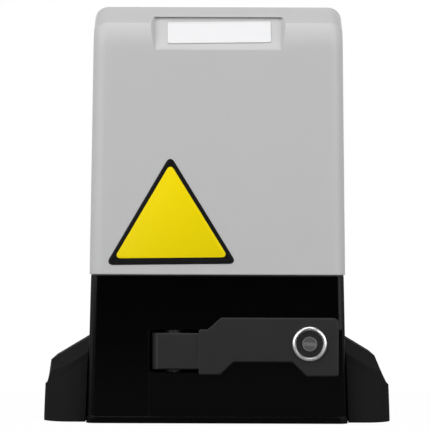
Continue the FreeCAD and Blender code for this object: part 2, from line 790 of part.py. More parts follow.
def clutch_spring():
    return coil_spring_y(shaft_x, shaft_z, 4.4, 0.8, clutch_y + slug_half + touch, bore_back - touch, 5)


# ---------------------------------------------------------------- worm and motor
def worm_shaft():
    """Motor shaft with the worm cut into it: a right-hand single thread."""
    lead = math.pi * gear_module
    length = lead * worm_turns
    core_r = worm_pitch_r - 1.25 * gear_module
    start = shaft_z - length / 2
    root_half = (lead / 4 - gear_play / 2) + math.tan(pressure_angle) * 1.25 * gear_module + 0.1
    tip_half = (lead / 4 - gear_play / 2) - math.tan(pressure_angle) * gear_module
    profile = Part.makePolygon([V(core_r - 0.3, 0, -root_half), V(worm_tip_r, 0, -tip_half),
                                V(worm_tip_r, 0, tip_half), V(core_r - 0.3, 0, root_half),
                                V(core_r - 0.3, 0, -root_half)])
    helix = Part.makeHelix(lead, length, worm_pitch_r)
    thread = Part.Wire(helix.Edges).makePipeShell([profile], True, True)
    thread.translate(V(worm_x, wheel_mid_y, start))
    core = rod_z(worm_x, wheel_mid_y, core_r, start - 8, start + length + 6)
    journal = rod_z(worm_x, wheel_mid_y, worm_shaft_r, sump_floor - lower_bearing_width + 0.5, start)
    upper = rod_z(worm_x, wheel_mid_y, motor_shaft_r, start + length, stator_top + 4)
    top = rod_z(worm_x, wheel_mid_y, worm_shaft_r, stator_top, motor_top - 2)
    return core.fuse([thread, journal, upper, top])


def worm_lower_bearing():
    return ball_bearing_z(worm_x, wheel_mid_y, lower_bearing_r, worm_shaft_r + running,
                          sump_floor - lower_bearing_width + touch, sump_floor)


def worm_upper_bearing():
    return ball_bearing_z(worm_x, wheel_mid_y, upper_bearing_r, motor_shaft_r + running,
                          lid_top - upper_bearing_width + touch, lid_top - touch)


def motor_top_bearing():
    z1 = motor_top - 3
    return ball_bearing_z(worm_x, wheel_mid_y, top_bearing_r, worm_shaft_r + running, z1 - lower_bearing_width, z1)


def rotor_core():
    core = tube_z(worm_x, wheel_mid_y, rotor_r, motor_shaft_r + seat, stator_bottom - 2, stator_top)
    ring = tube_z(worm_x, wheel_mid_y, rotor_r - 1, rotor_r - 8, stator_bottom - 6, stator_bottom - 2)
    return core.fuse(ring)


def bolt_places(r, count, first):
    return [(worm_x + r * math.cos(first + 2 * math.pi * k / count),
             wheel_mid_y + r * math.sin(first + 2 * math.pi * k / count)) for k in range(count)]


def stator_stack():
    stack = tube_z(worm_x, wheel_mid_y, stator_r, rotor_r + air_gap, stator_bottom, stator_top)
    slots = [rod_z(x, y, 3.2, stator_bottom - 1, stator_top + 1)
             for x, y in bolt_places(rotor_r + 7, 12, 0)]
    bolts = [rod_z(x, y, 2.6, stator_bottom - 1, stator_top + 1)
             for x, y in bolt_places(tie_bolt_circle_r, 4, math.pi / 4)]
    return cut(stack, *slots, *bolts)


def stator_windings():
    """End turns above and below the stack, laid in one ring of twelve bundles at each end."""
    ends = []
    for z0, z1 in ((stator_bottom - winding_height, stator_bottom - touch),
                   (stator_top + touch, stator_top + winding_height)):
        ring = tube_z(worm_x, wheel_mid_y, stator_r - 12, rotor_r + 3, z0, z1)
        edges = [e for e in ring.Edges if len(e.Vertexes) == 1]
        ends.append(ring.makeChamfer(3, edges))
    return ends


def motor_bell(z0, z1, cap_at_top):
    """Cast end shell: a cup with a bearing hub in its floor."""
    shell = rod_z(worm_x, wheel_mid_y, stator_r, z0, z1)
    wall = 5.0
    if cap_at_top:
        inner = rod_z(worm_x, wheel_mid_y, stator_r - wall, z0 - 1, z1 - wall - 9)
    else:
        inner = rod_z(worm_x, wheel_mid_y, stator_r - wall, z0 + wall, z1 + 1)
    return cut(shell, inner)


def motor_lower_bell():
    bell = motor_bell(lid_top + touch, stator_bottom - touch, False)
    eye = rod_z(worm_x, wheel_mid_y, upper_bearing_r + 2, lid_top - 1, lid_top + 8)
    holes = [rod_z(x, y, 2.6, lid_top - 1, stator_bottom) for x, y in bolt_places(tie_bolt_circle_r, 4, math.pi / 4)]
    ears = [rod_z(x, y, 5, lid_top + touch, stator_bottom - touch)
            for x, y in bolt_places(tie_bolt_circle_r, 4, math.pi / 4)]
    return cut(bell.fuse(ears), eye, *holes)


def motor_upper_bell():
    bell = motor_bell(stator_top + touch, motor_top, True)
    ears = [rod_z(x, y, 5, stator_top + touch, motor_top) for x, y in bolt_places(tie_bolt_circle_r, 4, math.pi / 4)]
    bearing_top = motor_top - 3
    seat_cut = rod_z(worm_x, wheel_mid_y, top_bearing_r + seat, stator_top, bearing_top + touch)
    shaft_cut = rod_z(worm_x, wheel_mid_y, worm_shaft_r + 1, stator_top, motor_top - 1)
    holes = [rod_z(x, y, 2.6, stator_top, motor_top + 1) for x, y in bolt_places(tie_bolt_circle_r, 4, math.pi / 4)]
    return cut(bell.fuse(ears), seat_cut, shaft_cut, *holes)


def motor_tie_bolts():
    bolts = []
    for x, y in bolt_places(tie_bolt_circle_r, 4, math.pi / 4):
        shank = rod_z(x, y, 2.5, lid_top + 2, motor_top + 1)
        head = rod_z(x, y, 4.2, motor_top + touch, motor_top + 4)
        bolts.append(shank.fuse(head))
    return bolts


# ---------------------------------------------------------------- release lever and lock
def lever_plan():
    """Plan of the lever's block, with the cam that pushes the release rod as it turns."""
    def at(r, angle):
        return V(shaft_x + r * math.cos(angle), lever_pivot_y + r * math.sin(angle), block_bottom)
    front = block_front - lever_pivot_y
    back = plate_back - lever_pivot_y
    left_angle = math.pi + math.asin(-front / block_r)
    rise = block_r - cam_low_r
    spiral = [at(cam_low_r + rise * k / 12, math.pi / 2 + math.pi / 2 * k / 12) for k in range(13)]
    curve = Part.BSplineCurve()
    curve.interpolate(spiral)
    right = plate_left + 2
    edges = [
        Part.Arc(at(block_r, math.pi), at(block_r, (math.pi + left_angle) / 2), at(block_r, left_angle)).toShape(),
        Part.LineSegment(at(block_r, left_angle), V(right, block_front, block_bottom)).toShape(),
        Part.LineSegment(V(right, block_front, block_bottom),
                         V(right, plate_back, block_bottom)).toShape(),
        Part.LineSegment(V(right, plate_back, block_bottom), at(cam_low_r, math.asin(back / cam_low_r))).toShape(),
        Part.Arc(at(cam_low_r, math.asin(back / cam_low_r)), at(cam_low_r, math.pi / 6),
                 at(cam_low_r, math.pi / 2)).toShape(),
        curve.toShape(),
    ]
    return Part.Face(Part.Wire(Part.__sortEdges__(edges)))


def lever_outline(y):
    """Front outline of the lever's plate, with the finger notch in its lower edge."""
    notch_top = plate_bottom + grip_depth
    corners = [
        (V(plate_left, y, plate_bottom + 0.5), 1.6),
        (V(plate_left, y, plate_top - 9.1), 1.6),
        (V(plate_left + 6.7, y, plate_top - 9.1), 1.6),
        (V(plate_left + 17.0, y, plate_top), 2),
        (V(plate_right, y, plate_top), 4),
        (V(plate_right, y, plate_bottom - 0.5), 2),
        (V(plate_right - 24.5, y, plate_bottom - 0.5), 2),
        (V(plate_right - 35.4, y, notch_top), 2),
        (V(plate_left + 26.7, y, notch_top), 2),
        (V(plate_left + 16.5, y, plate_bottom + 0.5), 2),
    ]
    return rounded_wire(corners)


def release_lever():
    block = lever_plan().extrude(V(0, 0, block_top - block_bottom))
    front_edges = [e for e in block.Edges if abs(e.BoundBox.YMax - block_front) < 1e-4
                   and abs(e.BoundBox.YMin - block_front) < 1e-4]
    block = block.makeChamfer(plate_bevel, front_edges)
    plate = Part.Face(lever_outline(plate_back)).extrude(V(0, plate_front - plate_back, 0))
    rim = [e for e in plate.Edges if abs(e.BoundBox.YMax - plate_front) < 1e-4
           and abs(e.BoundBox.YMin - plate_front) < 1e-4]
    plate = plate.makeChamfer(plate_bevel, rim)
    hub = rod_z(shaft_x, lever_pivot_y, lever_hub_r, slot_bottom + 0.2, slot_top - 0.2)
    shape = block.fuse([plate, hub])
    pin_hole = rod_z(shaft_x, lever_pivot_y, lever_pin_r + running, slot_bottom - 1, slot_top + 1)
    lock_hole = rod_y(lock_x, lock_z, barrel_r + seat, plate_front - 1, plate_back + 1)
    return cut(shape, pin_hole, lock_hole).removeSplitter()


def lever_pivot_pin():
    return rod_z(shaft_x, lever_pivot_y, lever_pin_r, slot_bottom - pivot_pin_grip + touch,
                 slot_top + pivot_pin_grip + 1)


def lock_bezel():
    """Bright domed ring round the lock."""
    y_back = plate_front - touch / 2
    y_front = plate_front - bezel_proud
    profile = Part.Wire([
        Part.LineSegment(V(bezel_inner_r, y_back, 0), V(bezel_r, y_back, 0)).toShape(),
        Part.LineSegment(V(bezel_r, y_back, 0), V(bezel_r, y_back - 0.8, 0)).toShape(),
        Part.Arc(V(bezel_r, y_back - 0.8, 0), V(bezel_r - 0.9, y_front + 0.4, 0),
                 V(bezel_r - 2.0, y_front, 0)).toShape(),
        Part.LineSegment(V(bezel_r - 2.0, y_front, 0), V(bezel_inner_r, y_front + 1.2, 0)).toShape(),
        Part.LineSegment(V(bezel_inner_r, y_front + 1.2, 0), V(bezel_inner_r, y_back, 0)).toShape(),
    ])
    ring = Part.Face(profile).revolve(V(0, 0, 0), V(0, 1, 0), 360)
    ring.translate(V(lock_x, 0, lock_z))
    return ring


def lock_barrel():
    body = rod_y(lock_x, lock_z, barrel_r, plate_front - 0.5, tongue_front - 0.5)
    face = rod_y(lock_x, lock_z, bezel_inner_r - seat, plate_front - 1.0, plate_front - touch / 2)
    return cut(body.fuse(face), rod_y(lock_x, lock_z, plug_r + running, plate_front - 2, tongue_front))


def lock_plug():
    """Keyed core; the keyway is level while the lever is free."""
    y_front = plate_front - 1.5
    core = rod_y(lock_x, lock_z, plug_r, y_front, tongue_front - touch)
    tail = box(lock_x - 2.5, lock_x + 2.5, tongue_front - 1, tongue_front + tongue_thickness + 4,
               lock_z - 2.5, lock_z + 2.5)
    keyway = box(lock_x - 4.2, lock_x + 4.2, y_front - 1, y_front + 6, lock_z - 0.6, lock_z + 0.6)
    recess = box(lock_x - 4.6, lock_x + 4.6, y_front - 1, y_front + 0.5, lock_z - 1.6, lock_z + 1.6)
    return cut(core.fuse(tail), keyway, recess)


def lock_tongue():
    half = tongue_width / 2
    blade = prism_xz([(lock_x - tongue_reach, lock_z - half), (lock_x + half + 1, lock_z - half),
                      (lock_x + half + 1, lock_z + half), (lock_x - tongue_reach, lock_z + half)],
                     tongue_front, tongue_front + tongue_thickness, 2)
    nut = rod_y(lock_x, lock_z, 4.8, tongue_front + tongue_thickness, tongue_front + tongue_thickness + 3.5)
    hole = 2.5 + seat
    square = box(lock_x - hole, lock_x + hole, tongue_front - 1, tongue_front + tongue_thickness + 5,
                 lock_z - hole, lock_z + hole)
    return cut(blade.fuse(nut), square)


# ---------------------------------------------------------------- top cover
def label_cutter(inset):
    """Tool that cuts the name plate recess: an inclined floor that sweeps out into the front face."""
    lean = math.radians(pad_lean)
    up = V(0, math.sin(lean), math.cos(lean))
    out = V(0, -math.cos(lean), math.sin(lean))
    low = V(0, -front_face_y(cover_height - pad_drop), cover_height - pad_drop) - out * inset
    high = low + up * ((pad_drop - pad_top_drop + inset) / up.z)
    face_lean = math.atan(cover_crown_lean / (cover_height - cover_crown_drop - cover_bottom))
    down = V(0, -math.sin(face_lean), -math.cos(face_lean))
    sweep = [(low + down * pad_room - V(0, 0.3 * pad_room, 0), 0), (low, pad_sweep_r), (high, 0),
             (high - V(0, pad_room + pad_drop, 0), 0), (low + down * pad_room - V(0, pad_room, 0), 0)]
    sweep = Part.Face(rounded_wire(sweep)).extrude(V(2 * cover_half_width, 0, 0))
    sweep.translate(V(-cover_half_width, 0, 0))

    def section(rise):
        side = V(pad_half_width + inset + pad_side_draft * rise, 0, 0)
        foot_point = low + out * rise - up * pad_room
        head_point = foot_point + up * (2 * pad_room + pad_drop)
        return Part.makePolygon([foot_point - side, foot_point + side, head_point + side, head_point - side,
                                 foot_point - side])
    wedge = Part.makeLoft([section(-pad_corner_r), section(pad_room)], True, True)
    return sweep.common(wedge)


def front_face_y(z):
    """Distance of the cover's flat front face from the middle plane, at one height."""
    share = (z - cover_bottom) / (cover_height - cover_crown_drop - cover_bottom)
    return cover_front - cover_crown_lean * share


def cover_form(inset):
    """Closed form of the cover: crowned front face, fold, sloping band, flat crest and rounded sides."""
    z0 = cover_bottom - (5 if inset else 0)
    top = cover_height - inset
    half_low = cover_half_width - inset
    half_high = cover_half_width_top - inset
    crown_z = cover_height - cover_crown_drop
    fold_z = cover_fold_height - inset * 0.3
    side_view = [(V(0, -(cover_front - inset), z0), 0), (V(0, cover_back - inset, z0), 0),
                 (V(0, cover_top_back - inset, top), 0), (V(0, -(cover_crest_front - inset * 0.3), top), 0),
                 (V(0, -(cover_fold_front - inset), fold_z), 0),
                 (V(0, -(front_face_y(crown_z) - inset), crown_z), cover_crown_r - 2 * inset)]
    form = Part.Face(rounded_wire(side_view)).extrude(V(2 * cover_half_width, 0, 0))
    form.translate(V(-cover_half_width, 0, 0))
    front_view = [(-half_low, z0), (half_low, z0), (half_high, top), (-half_high, top)]
    form = form.common(prism_xz(front_view, -cover_front - 1, cover_back + 1))
    rounded = []
    for e in form.Edges:
        b = e.BoundBox
        across = b.XLength > cover_half_width
        if b.ZMax > z0 + 10 and (not across or b.YMin > 0):
            rounded.append(e)
    return form.makeFillet(cover_corner_r - inset, rounded)


def top_cover():
    """Moulded cover shell, with the plate recess and a screw hole in each side."""
    outer = cover_form(0).cut(label_cutter(0))
    inner = cover_form(cover_wall).cut(label_cutter(cover_wall))
    shell = outer.cut(inner)
    gate_mark = rod_z(0, gate_mark_y, gate_mark_r, cover_height - 1, cover_height + gate_mark_height)
    shell = shell.fuse(gate_mark)
    notch_half = limit_half_width + 0.5
    notch = box(limit_x - notch_half, limit_x + notch_half, cover_back - 2 * cover_corner_r,
                cover_back + 5, cover_bottom - 1, limit_top + 0.5)
    holes = rod_x(cover_screw_y, cover_screw_z, cover_screw_r + screw_play, -cover_half_width - 5,
                  cover_half_width + 5)
    return cut(shell, notch, holes)


def cover_screws():
    """Pan-head screws, one in each side of the cover."""
    screws = []
    for side in (-1, 1):
        surface = cover_half_width - (cover_half_width - cover_half_width_top) * 0.03
        head = Part.makeCylinder(cover_screw_head_r, cover_screw_head,
                                 V(side * (surface + touch), cover_screw_y, cover_screw_z), V(side, 0, 0))
        rim = [e for e in head.Edges if len(e.Vertexes) == 1
               and abs(abs(e.BoundBox.XMin) - surface - touch - cover_screw_head) < 0.01]
        head = head.makeFillet(1.4, rim)
        shank = Part.makeCylinder(cover_screw_r, cover_screw_length,
                                  V(side * (surface + touch), cover_screw_y, cover_screw_z), V(-side, 0, 0))
        cross = [box(side * surface - 6, side * surface + 6, cover_screw_y - w, cover_screw_y + w,
                     cover_screw_z - h, cover_screw_z + h) for w, h in ((0.6, 2.2), (2.2, 0.6))]
        cross = [c.common(box(min(side * (surface + 1.6), side * (surface + 9)),
                              max(side * (surface + 1.6), side * (surface + 9)),
                              cover_screw_y - 5, cover_screw_y + 5, cover_screw_z - 5, cover_screw_z + 5))
                 for c in cross]
        screws.append(cut(head.fuse(shank), *cross))
    return screws


# ---------------------------------------------------------------- foot covers
def wing_profile(side, top_height, reach, drop_reach, y, inset):
    """Closed outline of a foot cover in a plane of constant y."""
    def inner_x(z):
        lift = rim_proud if z < rim_height + 1 else 0
        return body_side_x(z) + lift + wing_gap
    top = top_height - inset
    end_z = top_height - (reach - inner_x(top_height)) * wing_slope - inset
    points = [(inner_x(0) - (6 if inset else 0), -1 if inset else 0),
              (wing_outer - inset, -1 if inset else 0),
              (drop_reach - inset, min(wing_shoulder_height, end_z - 1) - inset * 0.5),
              (reach - inset * 0.5, end_z),
              (inner_x(top) - (6 if inset else 0), top)]
    return Part.makePolygon([V(side * x, y, z) for x, z in points + [points[0]]])


def wing_hood(side, crest_reach, inset):
    """Upper hood: rises from its front ridge to a crest, then runs level to the back."""
    front = wing_front - wing_step - inset
    crest = front - wing_crest_run
    drop = wing_outer_top - wing_step * 0.4
    ridge_wire = wing_profile(side, wing_ridge_height, wing_ridge_reach, drop, -front, inset)
    crest_wire = wing_profile(side, wing_crest_height, crest_reach, drop, -crest, inset)
    nose = Part.makeLoft([ridge_wire, crest_wire], True, True)
    middle = Part.Face(crest_wire).extrude(V(0, 2 * crest, 0))
    tail = nose.mirror(V(0, 0, 0), V(0, 1, 0))
    return nose.fuse([middle, tail])


def wing_plan(side, half_y, outer, r, z0, z1):
    inner = body_half_width - 8
    corners = [(V(side * inner, -half_y, z0), 0), (V(side * outer, -half_y, z0), r),
               (V(side * outer, half_y, z0), r), (V(side * inner, half_y, z0), 0)]
    return Part.Face(rounded_wire(corners)).extrude(V(0, 0, z1 - z0))


def wing_form(side, crest_reach, inset):
    low = -1 if inset else 0
    skirt_wire = wing_profile(side, wing_skirt_height, wing_skirt_reach, wing_outer_top, -wing_front - 1, inset)
    skirt = Part.Face(skirt_wire).extrude(V(0, 2 * wing_front + 2, 0))
    skirt = skirt.common(wing_plan(side, wing_front - inset, wing_outer - inset, wing_corner_r - inset, low, 80))
    hood = wing_hood(side, crest_reach, inset)
    hood = hood.common(wing_plan(side, wing_front - wing_step - inset, wing_outer - wing_step * 0.4 - inset,
                                 wing_corner_r - inset - 1, low, 80))
    return skirt.fuse(hood)


def wing_cover(side, crest_reach):
    """Hollow plastic cover over one foot, open underneath and towards the body."""
    shell = wing_form(side, crest_reach, 0).cut(wing_form(side, crest_reach, wing_wall))
    places = [(x, y) for x, y in wing_screw_places() if x * side > 0]
    posts = [rod_z(x, y, wing_post_r, foot_thickness + touch, wing_crest_height) for x, y in places]
    inner = wing_form(side, crest_reach, wing_wall / 2)
    shell = shell.fuse([p.common(inner) for p in posts])
    holes = [rod_z(x, y, wing_screw_r + touch, 0, foot_thickness + wing_screw_grip + 2) for x, y in places]
    return cut(shell, *holes)


def wing_screws():
    """Screws up through the feet that hold the foot covers down."""
    screws = []
    for x, y in wing_screw_places():
        shank = rod_z(x, y, wing_screw_r, wing_screw_head_top - 1, foot_thickness + wing_screw_grip)
        head = rod_z(x, y, wing_screw_head_r, wing_screw_head_top - 2.4, wing_screw_head_top)
        screws.append(shank.fuse(head))
    return screws


# ---------------------------------------------------------------- electronics
def board_tray():
    """Upright plastic tray that stands on two pillars of the body and carries the board."""
    tray_back = tray_front + tray_thickness
    plate = box(-tray_half_width, tray_half_width, tray_front, tray_back, body_height + 1, tray_top)
    foot_half = pillar_half_x + 1
    foot_bars = [box(x - foot_half, x + foot_half, pillar_y - pillar_half_y + 1, tray_back, body_height,
                     body_height + foot_bar_thickness) for x in (-pillar_x, pillar_x)]
    posts = [rod_y(x, z, 3, tray_front - board_standoff, tray_front) for x, z in board_post_places()]
    ribs = [box(x - 1, x + 1, tray_back, tray_back + 2 * tray_thickness, body_height + 4, tray_top - 20)
            for x in (-pillar_x + 2 * pillar_half_x, pillar_x - 2 * pillar_half_x)]
    holes = [rod_z(x, pillar_y, pillar_screw_r + screw_play, body_height - 1, body_height + 4)
             for x in (-pillar_x, pillar_x)]
    return cut(fuse(plate, *foot_bars, *posts, *ribs), *holes)


def board_post_places():
    inset = board_hole_inset
    return [(x, z) for x in (-board_half_width + inset, board_half_width - inset)
            for z in (board_bottom + inset, board_top - inset)]


def board_face():
    return tray_front - board_standoff - touch - board_thickness


def control_board():
    back = tray_front - board_standoff - touch
    board = box(-board_half_width, board_half_width, board_face(), back, board_bottom, board_top)
    return cut(board, *[rod_y(x, z, 1.7, board_face() - 1, back + 1) for x, z in board_post_places()])


def tray_screws():
    screws = []
    for x in (-pillar_x, pillar_x):
        seat_z = body_height + foot_bar_thickness + touch
        shank = rod_z(x, pillar_y, pillar_screw_r, body_height - tray_screw_grip, seat_z + 1)
        head = rod_z(x, pillar_y, 2 * pillar_screw_r, seat_z, seat_z + 3)
        screws.append(shank.fuse(head))
    return screws


def terminal_blocks():
    """Two rows of plug-in terminals along the lower edge of the board."""
    front = board_face() - 11
    back = board_face() - touch
    blocks = []
    for x0, ways in ((-66, 10), (4, 10)):
        pitch = 5.5
        block = box(x0, x0 + ways * pitch, front, back, board_bottom + 8, board_bottom + 20)
        entries = []
        for k in range(ways):
            x = x0 + pitch * (k + 0.5)
            entries.append(box(x - 1.6, x + 1.6, front + 2, back - 2, board_bottom + 7, board_bottom + 12))
            entries.append(rod_y(x, board_bottom + 16, 1.7, front - 1, front + 3))
        blocks.append(cut(block, *entries))
    return blocks


def relays():
    back = board_face() - touch
    cans = []
    for x in (-62, -36, -10):
        can = box(x, x + 19, back - 14, back, board_bottom + 40, board_bottom + 56)
        cans.append(can.makeChamfer(0.8, [e for e in can.Edges if e.BoundBox.YMax < back - 10]))
    return cans


def fuse_holder():
    back = board_face() - touch
    base = box(30, 56, back - 4, back, board_bottom + 42, board_bottom + 52)
    tube = rod_x(back - 8, board_bottom + 47, 3.2, 31, 55)
    clips = [box(x, x + 5, back - 11.5, back - 3, board_bottom + 43, board_bottom + 51) for x in (31, 50)]
    return fuse(base, tube, *clips)


def button_case():
    """Frame of the learning button, with a well for its cap."""
    back = board_face() - touch
    case = box(button_x - 4, button_x + 4, back - 4, back, button_z - 4, button_z + 4)
    return cut(case, rod_y(button_x, button_z, 1.75 + running, back - 5, back - 1))


def learn_button():
    back = board_face() - touch
    return rod_y(button_x, button_z, 1.75, back - 6.5, back - 2)


def trimmer_cases():
    back = board_face() - touch
    cases = []
    for x in trimmer_xs:
        case = box(x - 4.5, x + 4.5, back - 5, back, trimmer_z - 4.5, trimmer_z + 4.5)
        cases.append(cut(case, rod_y(x, trimmer_z, 3 + running, back - 6, back - 2.5)))
    return cases


def trimmer_knob(x):
    back = board_face() - touch
    knob = rod_y(x, trimmer_z, 3.0, back - 6, back - 2.6)
    slot = box(x - 2.2, x + 2.2, back - 7, back - 5, trimmer_z - 0.4, trimmer_z + 0.4)
    return cut(knob, slot)


def transformer_core():
    """Laminated core standing on the lid beside the motor."""
    x0 = chamber_outer_left
    x1 = worm_x - stator_r - 3
    outer = box(x0, x1, -5, 41, lid_top + touch, lid_top + 52)
    window = [box(x0 - 1, x1 + 1, 3, 13, lid_top + 9, lid_top + 43),
              box(x0 - 1, x1 + 1, 23, 33, lid_top + 9, lid_top + 43)]
    return cut(outer, *window)


def transformer_coil():
    x0 = chamber_outer_left
    x1 = worm_x - stator_r - 3
    block = box(x0 - 3, x1 + 2.5, 3.2, 32.8, lid_top + 9.2, lid_top + 42.8)
    block = block.makeFillet(2, [e for e in block.Edges if e.BoundBox.ZLength > 20])
    return cut(block, box(x0 - 0.2, x1 + 0.2, 12.8, 23.2, lid_top, lid_top + 60))


def capacitor():
    """Run capacitor, lying above the motor."""
    body = rod_x(capacitor_y, capacitor_z, capacitor_r, -34, 40)
    body = body.makeChamfer(1.5, [e for e in body.Edges if len(e.Vertexes) == 1])
    tabs = [box(40, 47, capacitor_y - 3, capacitor_y + 3, capacitor_z + s * 6 - 0.4, capacitor_z + s * 6 + 0.4)
            for s in (-1, 1)]
    stud = rod_x(capacitor_y, capacitor_z, 4, -42, -34)
    return fuse(body, stud, *tabs)


def capacitor_clip():
    tray_back = tray_front + tray_thickness
    strap_in = capacitor_r + touch
    clips = []
    for x in (-20, 20):
        strap = cut(rod_x(capacitor_y, capacitor_z, strap_in + 1.5, x, x + 10),
                    rod_x(capacitor_y, capacitor_z, strap_in, x - 1, x + 11))
        pad = box(x, x + 10, tray_back + touch, capacitor_y - strap_in - 0.4, capacitor_z - 6, capacitor_z + 6)
        clips.append(fuse(strap, pad))
    return clips


# ---------------------------------------------------------------- cable entry
def cable_gland():
    """Rubber grommet in the floor that the supply and control cables come up through."""
    body = rod_z(cable_x, cable_y, gland_r, 0.5, body_floor + touch)
    flange = rod_z(cable_x, cable_y, gland_r + 3, body_floor + touch, body_floor + 4)
    return cut(fuse(body, flange), rod_z(cable_x, cable_y, cable_r, -1, body_floor + 5))


# ---------------------------------------------------------------- pinion guard and limit switch
def pinion_guard():
    """Plastic tray round the lower half of the pinion, screwed to the back of the body."""
    tip_r = pinion_module * (pinion_teeth + 2) / 2
    inner = tip_r + 3
    outer = inner + 3
    y0 = body_half_depth + 2 * touch
    y1 = pinion_back + pinion_gap
    ring = tube_y(shaft_x, shaft_z, outer, inner, y0, y1)
    keep = box(shaft_x - outer - 1, shaft_x + outer + 1, y0, y1, shaft_z - outer - 1, shaft_z - 2)
    ring = ring.common(keep)
    ears = [box(x - 6, x + 6, y0, body_half_depth + guard_ear, z - 7, z + 7) for x, z in guard_screw_places()]
    shape = ring.fuse(ears).cut(rod_y(shaft_x, shaft_z, inner, y0 - 1, y1 + 1))
    return cut(shape, *[rod_y(x, z, guard_screw_r + screw_play, y0 - 1, y0 + 6) for x, z in guard_screw_places()])


def guard_screws():
    screws = []
    for x, z in guard_screw_places():
        face = body_half_depth + guard_ear + touch
        shank = rod_y(x, z, guard_screw_r, body_half_depth - guard_screw_grip, face + 1)
        screws.append(shank.fuse(rod_y(x, z, 2 * guard_screw_r, face, face + 3)))
    return screws


def limit_box():
    """Switch housing behind the cover, open at the back for the sprung arm."""
    x0 = limit_x - limit_half_width
    x1 = limit_x + limit_half_width
    y1 = cover_back + limit_proud
    wall = limit_wall
    body = box(x0, x1, limit_front, y1, limit_bottom, limit_top)
    inside = box(x0 + wall, x1 - wall, limit_front + wall, y1 - wall, limit_bottom + wall, limit_top - wall)
    mouth = box(x0 + 2 * wall, x1 - 2 * wall, y1 - wall - 1, y1 + 1, limit_z - 7, limit_z + 7)
    foot_bar = box(x0, x0 + limit_foot_width, chamber_back - 3, limit_front + wall, lid_top + touch, lid_top + 3)
    upright = box(x0, x0 + limit_foot_width, limit_front, limit_front + wall, lid_top + touch, limit_bottom + 1)
    pin = rod_z(limit_x, limit_y, limit_pin_r, limit_bottom + 1, limit_top - 1)
    return cut(fuse(body, foot_bar, upright), inside, mouth).fuse(pin)


def limit_lever():
    """Hub of the sprung arm, on a vertical pin, with a cam lobe between the two switches."""
    hub = rod_z(limit_x, limit_y, 5, limit_z - 6, limit_z + 6)
    stem = rod_y(limit_x, limit_z, 3.2, limit_y + 3, limit_y + 14)
    return cut(hub.fuse(stem), rod_z(limit_x, limit_y, limit_pin_r + running, limit_z - 7, limit_z + 7))


def limit_spring():
    return coil_spring_y(limit_x, limit_z, 4.3, 0.8, limit_y + 9, limit_arm_end, 5)


def limit_switches():
    switches = []
    for side in (-1, 1):
        x = limit_x + side * 11.5
        switches.append(box(x - 3, x + 3, limit_y - 7, limit_y + 5, limit_z - 10, limit_z + 10))
    return switches


# ---------------------------------------------------------------- parts
os.makedirs("parts", exist_ok=True)

save("base_housing", base_housing())
save("cover_seal", cover_seal())
save("gearbox_gasket", gearbox_gasket())
save("gearbox_lid", gearbox_lid())
save("gearbox_screws", *gearbox_screws())
save("front_bearing", front_bearing())
save("rear_bearing", rear_bearing())
save("shaft_seal", shaft_seal())
save("output_shaft", output_shaft())
save("worm_wheel", worm_wheel())
save("wheel_spacer", wheel_spacer())
save("thrust_washer", thrust_washer())
save("pinion", pinion())
save("pinion_key", pinion_key())
save("pinion_bolt", *pinion_bolt())
save("release_rod", release_rod())
save("clutch_slug", clutch_slug())
save("clutch_pin", clutch_pin())
save("clutch_spring", clutch_spring())
save("worm_shaft", worm_shaft())
save("worm_lower_bearing", worm_lower_bearing())
save("worm_upper_bearing", worm_upper_bearing())
save("motor_top_bearing", motor_top_bearing())
save("rotor_core", rotor_core())
save("stator_stack", stator_stack())
save("stator_windings", *stator_windings())
save("motor_lower_bell", motor_lower_bell())
save("motor_upper_bell", motor_upper_bell())
save("motor_tie_bolts", *motor_tie_bolts())
save("release_lever", release_lever())
save("lever_pivot_pin", lever_pivot_pin())
save("lock_bezel", lock_bezel())
save("lock_barrel", lock_barrel())
save("lock_plug", lock_plug())
save("lock_tongue", lock_tongue())
save("top_cover", top_cover())
save("cover_screws", *cover_screws())
save("wing_cover_left", wing_cover(-1, wing_crest_reach_left))
save("wing_cover_right", wing_cover(1, wing_crest_reach_right))
save("wing_screws", *wing_screws())
save("board_tray", board_tray())
save("control_board", control_board())
save("terminal_blocks", *terminal_blocks())
save("relays", *relays())
save("fuse_holder", fuse_holder())
save("learn_button", learn_button())
save("setting_cases", button_case(), *trimmer_cases())
save("trimmer_knob_1", trimmer_knob(trimmer_xs[0]))
save("trimmer_knob_2", trimmer_knob(trimmer_xs[1]))
save("transformer_core", transformer_core())
save("transformer_coil", transformer_coil())
save("capacitor", capacitor())
save("capacitor_clip", *capacitor_clip())
save("cable_gland", cable_gland())
save("pinion_guard", pinion_guard())
save("housing_screws", *tray_screws(), *guard_screws())
save("limit_box", limit_box())
save("limit_switches", *limit_switches())
save("limit_lever", limit_lever())
save("limit_spring", limit_spring())
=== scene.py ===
"""Dresses the sliding gate motor: finishes, blank plate and sign, lock details, light and camera."""

import json
import math

import bmesh
import bpy
from mathutils import Matrix, Vector


